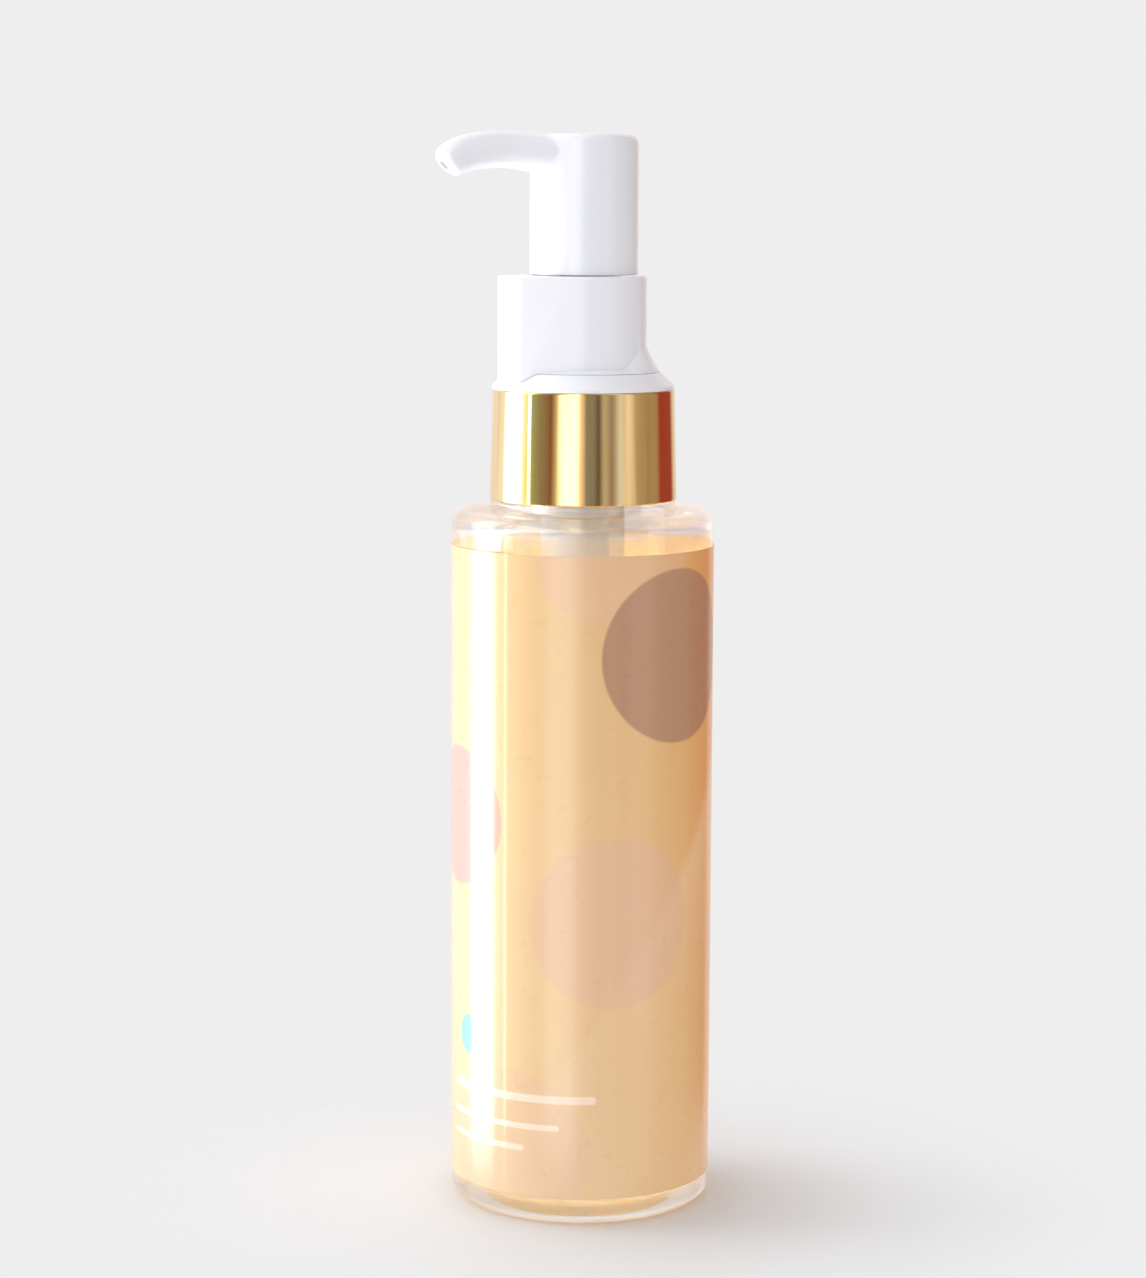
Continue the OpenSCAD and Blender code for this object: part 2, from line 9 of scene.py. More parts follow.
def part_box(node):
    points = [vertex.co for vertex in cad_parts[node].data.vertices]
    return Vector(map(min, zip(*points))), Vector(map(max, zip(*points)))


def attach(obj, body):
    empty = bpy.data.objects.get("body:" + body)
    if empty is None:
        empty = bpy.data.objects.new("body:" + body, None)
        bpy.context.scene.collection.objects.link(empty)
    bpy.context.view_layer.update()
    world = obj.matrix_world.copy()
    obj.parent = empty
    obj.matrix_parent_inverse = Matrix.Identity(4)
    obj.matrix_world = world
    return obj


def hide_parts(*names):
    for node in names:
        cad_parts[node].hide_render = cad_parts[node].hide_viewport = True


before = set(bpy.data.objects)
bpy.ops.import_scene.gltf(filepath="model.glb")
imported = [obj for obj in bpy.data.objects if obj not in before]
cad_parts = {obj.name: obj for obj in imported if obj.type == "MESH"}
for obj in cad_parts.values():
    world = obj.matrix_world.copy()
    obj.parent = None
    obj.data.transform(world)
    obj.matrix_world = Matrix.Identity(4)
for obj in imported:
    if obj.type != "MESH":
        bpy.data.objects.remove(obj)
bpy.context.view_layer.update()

MM = 0.001
SEGMENTS = 144
SCENE = bpy.context.scene

# Points of a profile this near to the axis, in mm, become one point on it
ON_AXIS = 1e-6
# Vertices this near to each other, in metres, are merged
MERGE_DISTANCE = 1e-8


def mm_box(node):
    """The lowest and highest corner of a CAD node, in millimetres."""
    lo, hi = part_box(node)
    return lo / MM, hi / MM


# ---------------------------------------------------------------- mesh tools


def rounded(corners, closed=True, step=math.radians(9)):
    """Turns corners (x, y, radius) into points, with an arc wherever the radius isn't 0."""
    points = []
    last = len(corners) - 1
    for i, (x, y, radius) in enumerate(corners):
        here = Vector((x, y))
        if radius <= 0 or (not closed and i in (0, last)):
            points.append(here)
            continue
        back = (Vector(corners[i - 1][:2]) - here).normalized()
        ahead = (Vector(corners[(i + 1) % len(corners)][:2]) - here).normalized()
        half = math.acos(max(-1, min(1, back.dot(ahead)))) / 2
        centre = here + (back + ahead).normalized() * (radius / math.sin(half))
        first = here + back * (radius / math.tan(half)) - centre
        final = here + ahead * (radius / math.tan(half)) - centre
        start = math.atan2(first.y, first.x)
        turn = math.atan2(final.y, final.x) - start
        turn = (turn + math.pi) % (2 * math.pi) - math.pi
        steps = max(2, math.ceil(abs(turn) / step))
        for k in range(steps + 1):
            a = start + turn * k / steps
            points.append(centre + radius * Vector((math.cos(a), math.sin(a))))
    return points


def finish_mesh(name, verts, faces, sharp=35):
    """A smooth-shaded object from points in millimetres, its faces turned outwards."""
    mesh = bpy.data.meshes.new(name)
    mesh.from_pydata([Vector(v) * MM for v in verts], [], faces)
    work = bmesh.new()
    work.from_mesh(mesh)
    bmesh.ops.remove_doubles(work, verts=work.verts, dist=MERGE_DISTANCE)
    bmesh.ops.recalc_face_normals(work, faces=work.faces)
    work.to_mesh(mesh)
    work.free()
    mesh.shade_smooth()
    mesh.set_sharp_from_angle(angle=math.radians(sharp))
    obj = bpy.data.objects.new(name, mesh)
    SCENE.collection.objects.link(obj)
    return obj


def lathe(name, profile, closed=True, segments=SEGMENTS, swell=None, sharp=35):
    """Turns (r, z) points about the Z axis. swell(r, z, angle) may change the radius."""
    verts = []
    rings = []
    for r, z in profile:
        if r < ON_AXIS:
            rings.append([len(verts)])
            verts.append((0, 0, z))
            continue
        ring = []
        for k in range(segments):
            a = 2 * math.pi * k / segments
            radius = swell(r, z, a) if swell else r
            ring.append(len(verts))
            verts.append((radius * math.cos(a), radius * math.sin(a), z))
        rings.append(ring)
    faces = []
    pairs = list(zip(rings, rings[1:]))
    if closed:
        pairs.append((rings[-1], rings[0]))
    for low, high in pairs:
        for k in range(segments):
            n = (k + 1) % segments
            if len(low) == 1 and len(high) == 1:
                continue
            if len(low) == 1:
                faces.append((low[0], high[n], high[k]))
            elif len(high) == 1:
                faces.append((low[k], low[n], high[0]))
            else:
                faces.append((low[k], low[n], high[n], high[k]))
    return finish_mesh(name, verts, faces, sharp)


def loft(name, sections, sharp=35):
    """A closed solid through sections that all have the same number of points."""
    sides = len(sections[0])
    verts = [p for section in sections for p in section]
    faces = []
    for i in range(len(sections) - 1):
        for k in range(sides):
            n = (k + 1) % sides
            low, high = i * sides, (i + 1) * sides
            faces.append((low + k, low + n, high + n, high + k))
    faces.append(tuple(range(sides - 1, -1, -1)))
    faces.append(tuple(range((len(sections) - 1) * sides, len(sections) * sides)))
    return finish_mesh(name, verts, faces, sharp)


def apply_modifiers(obj, sharp=35):
    """Replaces the object's mesh with its modified one."""
    graph = bpy.context.evaluated_depsgraph_get()
    graph.update()
    mesh = bpy.data.meshes.new_from_object(obj.evaluated_get(graph))
    obj.modifiers.clear()
    old = obj.data
    obj.data = mesh
    mesh.name = old.name
    bpy.data.meshes.remove(old)
    mesh.shade_smooth()
    mesh.set_sharp_from_angle(angle=math.radians(sharp))


def combine(obj, others, operation, sharp=35):
    """Joins the other solids to obj, or cuts them from it, and removes them."""
    for other in others:
        cut = obj.modifiers.new("combine", "BOOLEAN")
        cut.operation = operation
        cut.solver = "EXACT"
        cut.object = other
    apply_modifiers(obj, sharp)
    for other in others:
        bpy.data.objects.remove(other)


def cylinder(name, radius, z0, z1, segments=SEGMENTS):
    """A solid round bar on the Z axis."""
    return lathe(name, [(0, z0), (radius, z0), (radius, z1), (0, z1)], False, segments)


def slab(name, lo, hi):
    """A plain block from one corner to the other, used as a cutter."""
    xs, ys, zs = zip(lo, hi)
    low, high = [[(x, y, z) for x, y in ((xs[0], ys[0]), (xs[1], ys[0]), (xs[1], ys[1]),
                                         (xs[0], ys[1]))] for z in zs]
    return loft(name, [low, high])


# ---------------------------------------------------------------- node tools


class Nodes:
    """Makes the nodes of one tree by short calls."""

    def __init__(self, tree):
        self.tree = tree

    def node(self, kind, **settings):
        """A new node with these properties."""
        made = self.tree.nodes.new(kind)
        for key, value in settings.items():
            setattr(made, key, value)
        return made

    def put(self, socket, value):
        """Links a socket to another, or sets its value."""
        if isinstance(value, bpy.types.NodeSocket):
            self.tree.links.new(value, socket)
        else:
            socket.default_value = value

    def math(self, operation, a, b=0.0):
        """One step of arithmetic on numbers."""
        made = self.node("ShaderNodeMath", operation=operation)
        self.put(made.inputs[0], a)
        self.put(made.inputs[1], b)
        return made.outputs[0]

    def length(self, x, y):
        """The length of the flat vector (x, y)."""
        squares = [self.math("MULTIPLY", side, side) for side in (x, y)]
        return self.math("SQRT", self.math("ADD", *squares))

    def scaled(self, vector, factor):
        """A vector or colour times a number."""
        made = self.node("ShaderNodeVectorMath", operation="SCALE")
        self.put(made.inputs[0], vector)
        self.put(made.inputs["Scale"], factor)
        return made.outputs[0]

    def added(self, a, b):
        """The sum of two vectors or colours."""
        made = self.node("ShaderNodeVectorMath", operation="ADD")
        self.put(made.inputs[0], a)
        self.put(made.inputs[1], b)
        return made.outputs[0]

    def turned(self, vector, angle):
        """The direction round the Z axis and the height of a vector that is turned about that axis."""
        rotated = self.node("ShaderNodeVectorRotate", rotation_type="Z_AXIS")
        self.put(rotated.inputs["Vector"], vector)
        rotated.inputs["Angle"].default_value = angle
        parts = self.node("ShaderNodeSeparateXYZ")
        self.put(parts.inputs[0], rotated.outputs[0])
        direction = self.math("ARCTAN2", parts.outputs["Y"], parts.outputs["X"])
        return direction, parts.outputs["Z"]

    def fit(self, value, from_lo, from_hi, to_lo=0.0, to_hi=1.0, smooth=False):
        """Moves a value from one range to another, and holds it at the ends."""
        made = self.node("ShaderNodeMapRange")
        made.interpolation_type = "SMOOTHSTEP" if smooth else "LINEAR"
        for key, v in zip(("Value", "From Min", "From Max", "To Min", "To Max"),
                          (value, from_lo, from_hi, to_lo, to_hi)):
            self.put(made.inputs[key], v)
        return made.outputs[0]

    def mix(self, factor, a, b):
        """Blends two colours."""
        made = self.node("ShaderNodeMix", data_type="RGBA")
        self.put(made.inputs["Factor"], factor)
        self.put(made.inputs["A"], a)
        self.put(made.inputs["B"], b)
        return made.outputs["Result"]


class Paint(Nodes):
    """A material. Lengths in its coordinates are millimetres."""

    def __init__(self, name):
        self.material = bpy.data.materials.new(name)
        self.material.use_nodes = True
        super().__init__(self.material.node_tree)
        self.shader = self.tree.nodes["Principled BSDF"]
        self.mm = self.scaled(self.node("ShaderNodeTexCoord").outputs["Object"], 1 / MM)

    def set(self, **values):
        """Sets or links inputs of the shader; an underscore stands for a space in a name."""
        for key, value in values.items():
            self.put(self.shader.inputs[key.replace("_", " ")], value)

    def noise(self, scale, detail=3.0, roughness=0.5, stretch=(1, 1, 1)):
        """Noise from 0 to 1 whose grains are about 1 / scale mm across."""
        spread = self.node("ShaderNodeMapping")
        self.put(spread.inputs["Vector"], self.mm)
        spread.inputs["Scale"].default_value = stretch
        made = self.node("ShaderNodeTexNoise")
        self.put(made.inputs["Vector"], spread.outputs[0])
        made.inputs["Scale"].default_value = scale
        made.inputs["Detail"].default_value = detail
        made.inputs["Roughness"].default_value = roughness
        return made.outputs["Fac"]

    def bump(self, height, depth, under=None):
        """Height from 0 to 1 stands for that depth in mm. under is a bump that lies beneath."""
        made = self.node("ShaderNodeBump")
        made.inputs["Strength"].default_value = 1.0
        made.inputs["Distance"].default_value = depth * MM
        self.put(made.inputs["Height"], height)
        if under is not None:
            self.put(made.inputs["Normal"], under)
        return made.outputs[0]


def tone(red, green, blue):
    """A linear colour from 8-bit display values."""
    channels = []
    for v in (red, green, blue):
        v /= 255
        channels.append(v / 12.92 if v <= 0.04045 else ((v + 0.055) / 1.055) ** 2.4)
    return (*channels, 1.0)


# ---------------------------------------------------------------- materials

PLASTIC_IOR = 1.49
PET_IOR = 1.57
OIL_IOR = 1.47
TUBING_IOR = 1.5


def moulded_white(name, colour, shade, roughness=0.2, grain=0.004):
    """Glossy moulded plastic: faint flow marks, orange peel and patchy gloss."""
    p = Paint(name)
    flow = p.noise(0.09, 2.0, 0.5, (1, 1, 0.35))
    specks = p.noise(1.1, 4.0)
    p.set(Base_Color=p.mix(p.fit(flow, 0.35, 0.7), colour, shade))
    p.set(Roughness=p.fit(specks, 0.3, 0.7, roughness - 0.04, roughness + 0.06))
    peel = p.bump(p.noise(1.6, 2.0), grain)
    p.set(Normal=p.bump(p.noise(9.0, 2.0), grain * 0.25, peel))
    p.set(IOR=PLASTIC_IOR, Coat_Weight=0.25, Coat_Roughness=0.06)
    p.set(Subsurface_Weight=0.12, Subsurface_Scale=1.0 * MM)
    return p.material


def clear_plastic(name, colour, shade, ior, ripple, bending, glow=0.0):
    """Clear moulded PET or liquid. bending is the share of light that it bends; the rest goes
    straight through, as thin walls seem to let it. glow is the strength of a painted glow, emission
    that stands in for light scattered inside it."""
    p = Paint(name)
    p.set(Base_Color=p.mix(p.noise(0.05, 1.0), colour, shade))
    p.set(Roughness=p.fit(p.noise(0.5, 3.0), 0.3, 0.8, 0.0, 0.03))
    p.set(Transmission_Weight=1.0, IOR=ior, Alpha=bending)
    # Painted glow: emission in the shade colour stands in for light scattered inside the plastic or
    # oil
    p.set(Emission_Color=shade, Emission_Strength=glow)
    p.set(Normal=p.bump(p.noise(0.35, 2.0, 0.5, (1, 1, 0.5)), ripple))
    return p.material


def polished_gold():
    """Anodised gold, mirror bright, with drawn lines up its wall and fine rubs."""
    p = Paint("polished_gold")
    drawn = p.noise(0.8, 4.0, 0.6, (1, 1, 0.02))
    rubs = p.noise(3.0, 5.0, 0.7, (0.3, 0.3, 2.5))
    wave = p.noise(0.22, 1.0, 0.5, (1, 1, 0.15))
    p.set(Base_Color=p.mix(p.fit(drawn, 0.35, 0.7), tone(250, 226, 170), tone(243, 205, 132)))
    p.set(Metallic=1.0, Roughness=p.fit(rubs, 0.35, 0.75, 0.035, 0.085))
    p.set(Normal=p.bump(drawn, 0.0022, p.bump(wave, 0.02)))
    return p.material


def soft_white(name, colour, shade, roughness):
    """Unpigmented or soft plastic without a gloss coat."""
    p = Paint(name)
    p.set(Base_Color=p.mix(p.noise(0.3, 3.0), colour, shade))
    p.set(Roughness=p.fit(p.noise(2.0, 4.0), 0.3, 0.7, roughness - 0.05, roughness + 0.08))
    p.set(Subsurface_Weight=0.25, Subsurface_Scale=1.2 * MM, IOR=PLASTIC_IOR)
    p.set(Normal=p.bump(p.noise(6.0, 3.0), 0.004))
    return p.material


def bright_steel(name, roughness, stretch):
    """Drawn or ground steel. stretch sets which way its fine lines run."""
    p = Paint(name)
    lines = p.noise(4.0, 5.0, 0.6, stretch)
    p.set(Base_Color=p.mix(lines, tone(206, 207, 210), tone(168, 170, 175)))
    p.set(Metallic=1.0, Roughness=p.fit(lines, 0.3, 0.7, roughness * 0.7, roughness * 1.4))
    p.set(Normal=p.bump(lines, 0.002))
    return p.material


def soft_edge(p, away, radius, edge):
    """1 nearer than the radius and 0 beyond it, blended over an edge on either side."""
    return p.fit(away, radius - edge, radius + edge, 1.0, 0.0, True)


def dot_mask(p, place, dot, edge, flatten=1.0):
    """1 inside a printed dot (across, up, radius). Under 1, flatten stretches it upwards."""
    across, up, radius = dot
    dx = p.math("SUBTRACT", place[0], across)
    dy = p.math("MULTIPLY", p.math("SUBTRACT", place[1], up), flatten)
    return soft_edge(p, p.length(dx, dy), radius, edge)


def bar_mask(p, place, bar):
    """1 inside a printed bar (left, right, height, middle) with round ends."""
    left, right, height, middle = bar
    aside = p.math("ABSOLUTE", p.math("SUBTRACT", place[0], (left + right) / 2))
    beyond = p.math("SUBTRACT", aside, (right - left) / 2 - height / 2)
    dx = p.math("MAXIMUM", beyond, 0.0)
    dy = p.math("SUBTRACT", place[1], middle)
    return soft_edge(p, p.length(dx, dy), height / 2, SHARP_EDGE)


def label_ground_and_reflection(p, place):
    """The label's ground: paler at the foot and the left, deeper orange at the right and the top,
    with a paler sweep, a painted reflection on the glossy film, that crosses the face from its right
    edge down to the left."""
    across, up = place
    side = p.fit(across, -6.0, 30.0, 0.0, 1.0, True)
    foot = p.mix(side, tone(230, 213, 172), tone(234, 206, 148))
    top = p.mix(side, tone(227, 205, 157), tone(227, 183, 115))
    ground = p.mix(p.fit(up, 0.0, 100.0), foot, top)
    # Painted reflection: the pale sweep below this sloping line stands in for a reflection on the
    # glossy film
    line = p.math("SUBTRACT", up, p.math("MULTIPLY", across, REFLECTION_SWEEP_SLOPE))
    below = p.fit(line, REFLECTION_SWEEP_UP + REFLECTION_SWEEP_EDGE, REFLECTION_SWEEP_UP - REFLECTION_SWEEP_EDGE, 0.0, 0.45, True)
    sweep = p.math("MULTIPLY", below, p.fit(up, 30.0, 60.0, 0.35, 1.0, True))
    return p.mix(sweep, ground, tone(241, 231, 204))


def label_print_and_reflection(p, place):
    """The ground with its painted reflection, its dots, bars and drop, and a fine speckle through the
    whole print.
    """
    colour = label_ground_and_reflection(p, place)
    weave = p.fit(p.noise(3.4, 5.0, 0.75), 0.3, 0.7, 0.86, 1.0)
    layers = [(dot_mask(p, place, dot, PALE_EDGE), strength, tone(226, 198, 180))
              for dot, strength in PALE_DOTS]
    layers.append((dot_mask(p, place, DARK_DOT, DOT_EDGE), weave, tone(185, 150, 122)))
    layers.append((dot_mask(p, place, MAUVE_DOT, DOT_EDGE), 0.8, tone(212, 166, 166)))
    layers += [(bar_mask(p, place, bar), 0.62, tone(252, 250, 247)) for bar in WHITE_BARS]
    layers.append((dot_mask(p, place, DROP, SHARP_EDGE, DROP_FLATTEN), 0.9, tone(128, 205, 214)))
    for mask, strength, ink in layers:
        colour = p.mix(p.math("MULTIPLY", mask, strength), colour, ink)
    speckle = p.fit(p.noise(1.6, 2.0, 0.5), 0.35, 0.75, 0.0, 0.025)
    return p.mix(speckle, colour, tone(250, 240, 226))


def printed_label():
    """Glossy printed film that lets some light through. Its pattern lies on the unrolled label,
    where a place is (across, up): the arc in mm from the middle of the face, positive to the
    right, and the height in mm above the base."""
    p = Paint("printed_label")
    direction, up = p.turned(p.mm, -LABEL_FACE)
    colour = label_print_and_reflection(p, (p.math("MULTIPLY", direction, LABEL_R), up))
    p.set(Base_Color=colour, Roughness=p.fit(p.noise(0.4, 3.0), 0.3, 0.7, 0.26, 0.36))
    p.set(Coat_Weight=1.0, Coat_Roughness=0.035, Coat_IOR=1.55, IOR=1.5)
    p.set(Normal=p.bump(p.noise(0.16, 2.0, 0.5, (1, 1, 0.12)), 0.03))
    p.set(Coat_Normal=p.bump(p.noise(0.3, 2.0, 0.5, (1, 1, 0.1)), 0.012))
    through = p.node("ShaderNodeBsdfTranslucent")
    p.put(through.inputs["Color"], colour)
    blend = p.node("ShaderNodeMixShader")
    blend.inputs[0].default_value = 0.25
    p.put(blend.inputs[1], p.shader.outputs[0])
    p.put(blend.inputs[2], through.outputs[0])
    p.put(p.tree.nodes["Material Output"].inputs["Surface"], blend.outputs[0])
    return p.material


def label_back():
    """The film's inner side. Its emission is a painted glow that stands in for the light which comes
    through the print.
    """
    p = Paint("label_back")
    colour = p.mix(p.noise(0.08, 2.0), tone(250, 214, 160), tone(244, 196, 132))
    # Painted glow: emission in the film's own colour stands in for light that comes through the print
    p.set(Base_Color=colour, Roughness=0.5, Emission_Color=colour, Emission_Strength=0.6)
    return p.material


# ---------------------------------------------------------------- sizes, in millimetres

BOTTLE_HI = mm_box("bottle")[1]
LABEL_LO, LABEL_HI = mm_box("label_film")
OIL_TOP_Z = mm_box("oil_fill")[1].z
COLLAR_LO, COLLAR_HI = mm_box("gold_collar")
CLOSURE_LO, CLOSURE_HI = mm_box("closure")
CLIP_LO, CLIP_HI = mm_box("lock_clip")
HEAD_LO, HEAD_HI = mm_box("pump_head")
STEM_LO, STEM_HI = mm_box("stem")
CHAPLET_LO, CHAPLET_HI = mm_box("chaplet")
TUBE_R = mm_box("dip_tube")[1].x

# Bottle
BOTTLE_R = BOTTLE_HI.x
WALL = 1.2
BASE_T = 2.6
PUSHUP_H = 0.9
HEEL_ROUND = 2.5
INNER_ROUND = 2.0
SHOULDER_Z = 107.0
SHOULDER_RISE = 0.5
SHOULDER_ROUND = 1.6
NECK_FOOT_Z = SHOULDER_Z + 1.4
NECK_FOOT_R = 14.1
NECK_TOP_Z = BOTTLE_HI.z
NECK_R = 10.75
NECK_BORE_R = 9.0

# Screw thread: a full-height ridge is reached in one part in RIDGE_GROWTH of a turn
THREAD_Z = NECK_FOOT_Z + 4.4
THREAD_PITCH = 3.175
RIDGE_GROWTH = 7

# Room for the pump in the oil
HOUSING_R = 6.4
VALVE_R = 4.1
SOCKET_R = 3.2
CHAMBER_FOOT_Z = 91.0
VALVE_FOOT_Z = 84.3
SOCKET_FOOT_Z = 77.5

# Label, and the direction that the middle of its face looks in, as an angle in the XY plane
LABEL_R = LABEL_HI.x
LABEL_T = 0.1
LABEL_FACE = math.radians(-117)
SEAM_HALF = 0.6

# Closure
CLOSURE_BORE_R = 12.25
CLOSURE_HOLE_R = 7.3
CEILING_Z = 125.15
SKIRT_INSET = 0.47
# The upright band between the collar's top and the cone
EDGE_BAND = 0.5

# Clip. Its slot cuts the foot at the rear, so the foot's radius comes from the box's side
CLIP_FOOT_R = CLIP_HI.y
CLIP_R = 9.55
NOSE_HALF_W = 3.75
SLOT_HALF_W = 4.1
CLIP_LAP = 1.1

# Head and stem
HEAD_R = HEAD_HI.y
HEAD_Z0 = HEAD_LO.z
HEAD_Z1 = HEAD_Z0 + 20.9
HEAD_WALL = 1.1
SPOUT_R = 2.75
SPOUT_REACH = -HEAD_LO.x
SPOUT_Z = HEAD_Z1 - SPOUT_R - 0.1
SPOUT_BORE_R = 1.2
STEM_R = STEM_HI.x

# Printed dots on the unrolled label: (across, up, radius), and how strongly the pale ones show
DARK_DOT = (16.0, 86.4, 13.1)
MAUVE_DOT = (-23.5, 61.1, 10.6)
PALE_DOTS = (
    ((5.0, 46.6, 12.9), 0.5),
    ((4.8, 104.1, 12.9), 0.4),
    ((-11.6, 10.8, 13.0), 0.3),
    ((-46.0, 88.0, 12.5), 0.45),
    ((47.0, 34.0, 13.0), 0.5),
    ((48.5, 82.0, 9.5), 0.4),
    ((-50.0, 38.0, 10.0), 0.45),
)
DROP = (-20.3, 27.6, 2.5)
DROP_FLATTEN = 0.82

# Printed bars that stand for the lettering: (left, right, height, middle)
WHITE_BARS = (
    (-25.0, 2.4, 1.2, 19.6),
    (-25.0, -3.2, 0.9, 15.2),
    (-25.0, -8.8, 0.9, 11.8),
)

# The pale sweep, a painted reflection on the glossy film, lies below a sloping line; the second value
# is that line's height at the middle of the face
REFLECTION_SWEEP_SLOPE = 1.48
REFLECTION_SWEEP_UP = 27.8
REFLECTION_SWEEP_EDGE = 2.5

# Half widths of the blend at the edge of what is printed
SHARP_EDGE = 0.12
DOT_EDGE = 0.25
PALE_EDGE = 0.5


# ---------------------------------------------------------------- pieces


def ridge(z, angle, start, turns, root_w, crest_w):
    """Share of a thread ridge's full height at this height and angle on the neck."""
    best = 0.0
    for lap in range(int(turns) + 1):
        turn = angle / (2 * math.pi) + lap
        if turn > turns:
            continue
        away = abs(z - start - THREAD_PITCH * turn)
        rise = min(1, max(0, (root_w / 2 - away) / ((root_w - crest_w) / 2)))
        grow = min(1, turn * RIDGE_GROWTH, (turns - turn) * RIDGE_GROWTH)
        best = max(best, rise * grow)
    return best


def bottle_shell():
    """The clear bottle: one skin out from the push-up, over the neck and down the inside."""
    pushup_r = BOTTLE_R - 5.5
    dome_r = (pushup_r ** 2 + PUSHUP_H ** 2) / (2 * PUSHUP_H)
    rings = 12
    profile = [(0, PUSHUP_H)]
    for k in range(1, rings):
        r = pushup_r * k / rings
        profile.append((r, PUSHUP_H - dome_r + math.sqrt(dome_r ** 2 - r ** 2)))
    outer = [
        (pushup_r - 1.2, 0.14, 0), (pushup_r, 0, 0.8), (BOTTLE_R, 0, HEEL_ROUND),
        (BOTTLE_R, SHOULDER_Z - 0.05, SHOULDER_ROUND),
        (NECK_FOOT_R, SHOULDER_Z + SHOULDER_RISE, 0.8),
        (NECK_FOOT_R, NECK_FOOT_Z, 0.3), (NECK_R, NECK_FOOT_Z, 0),
    ]
    profile += [tuple(v) for v in rounded(outer, False)]
    rows = 56
    for k in range(1, rows):
        profile.append((NECK_R, NECK_FOOT_Z + (NECK_TOP_Z - NECK_FOOT_Z - 0.5) * k / rows))
    inner_r = BOTTLE_R - WALL
    roof_z = SHOULDER_Z - WALL
    inner = [
        (NECK_R, NECK_TOP_Z - 1, 0), (NECK_R, NECK_TOP_Z, 0.35), (NECK_BORE_R, NECK_TOP_Z, 0.3),
        (NECK_BORE_R, roof_z + 0.5, 0.8), (inner_r, roof_z - 0.1, INNER_ROUND),
        (inner_r, BASE_T, INNER_ROUND), (0, BASE_T, 0),
    ]
    profile += [tuple(v) for v in rounded(inner, False)][1:]
    ridge_h, turns, root_w, crest_w = 1.2, 1.5, 2.2, 1.0

    def thread(r, z, angle):
        """Raises the ridge on the neck's outer wall only."""
        if abs(r - NECK_R) > 0.01 or not NECK_FOOT_Z + 1 < z < NECK_TOP_Z - 0.6:
            return r
        return r + ridge_h * ridge(z, angle, THREAD_Z, turns, root_w, crest_w)

    return lathe("bottle_shell", profile, False, SEGMENTS, thread, 50)


def oil_body():
    """The oil, with a meniscus at its wall and room for the pump; it laps into the wall and the
    pump a little."""
    lap = 0.03
    outer_r = BOTTLE_R - WALL + 2 * lap
    floor_z = BASE_T - 0.05
    tube_r = TUBE_R + 0.3
    profile = rounded([
        (tube_r, floor_z, 0.2), (outer_r, floor_z, INNER_ROUND), (outer_r, OIL_TOP_Z + 0.9, 0),
        (outer_r - 0.35, OIL_TOP_Z + 0.3, 0), (outer_r - 1.2, OIL_TOP_Z, 0.6),
        (HOUSING_R + 1.0, OIL_TOP_Z, 0.6), (HOUSING_R - lap, OIL_TOP_Z + 0.6, 0),
        (HOUSING_R - lap, CHAMBER_FOOT_Z, 0), (VALVE_R - lap, CHAMBER_FOOT_Z, 0),
        (VALVE_R - lap, VALVE_FOOT_Z, 0), (SOCKET_R - lap, VALVE_FOOT_Z, 0),
        (SOCKET_R - lap, SOCKET_FOOT_Z, 0), (tube_r, SOCKET_FOOT_Z, 0),
    ])
    return lathe("oil_body", [tuple(v) for v in profile])


def label_wrap():
    """The printed film, wrapped round the body with a narrow gap at the back."""
    half_turn = math.pi - SEAM_HALF / LABEL_R
    columns, rows = 180, 24
    verts = []
    for i in range(columns + 1):
        a = LABEL_FACE - half_turn + 2 * half_turn * i / columns
        for k in range(rows + 1):
            z = LABEL_LO.z + (LABEL_HI.z - LABEL_LO.z) * k / rows
            for r in (LABEL_R, LABEL_R - 0.8 * LABEL_T):
                verts.append((r * math.cos(a), r * math.sin(a), z))
    faces = []
    stride = 2 * (rows + 1)
    for i in range(columns):
        here, there = i * stride, (i + 1) * stride
        for k in range(rows):
            for side in (0, 1):
                a, b = here + 2 * k + side, there + 2 * k + side
                faces.append((a, b, b + 2, a + 2))
        for row in (0, 2 * rows):
            faces.append((here + row, there + row, there + row + 1, here + row + 1))
    for first in (0, columns * stride):
        for k in range(rows):
            a = first + 2 * k
            faces.append((a, a + 1, a + 3, a + 2))
    wrap = finish_mesh("label_wrap", verts, faces, 40)
    for face in wrap.data.polygons:
        if face.center.xy.length / MM < LABEL_R - 0.5 * LABEL_T:
            face.material_index = 1
    return wrap


def collar_shell():
    """The metal collar: a drawn wall that narrows upwards, with an eased foot and top."""
    foot_r, low, high = COLLAR_HI.x, COLLAR_LO.z, COLLAR_HI.z
    top_r, wall = foot_r - 0.45, 0.42
    profile = rounded([
        (foot_r - wall, low, 0.1), (foot_r, low, 0.22),
        (top_r, high, 0.3), (top_r - wall, high, 0.1),
    ])
    return lathe("collar_shell", [tuple(v) for v in profile], True, 180)


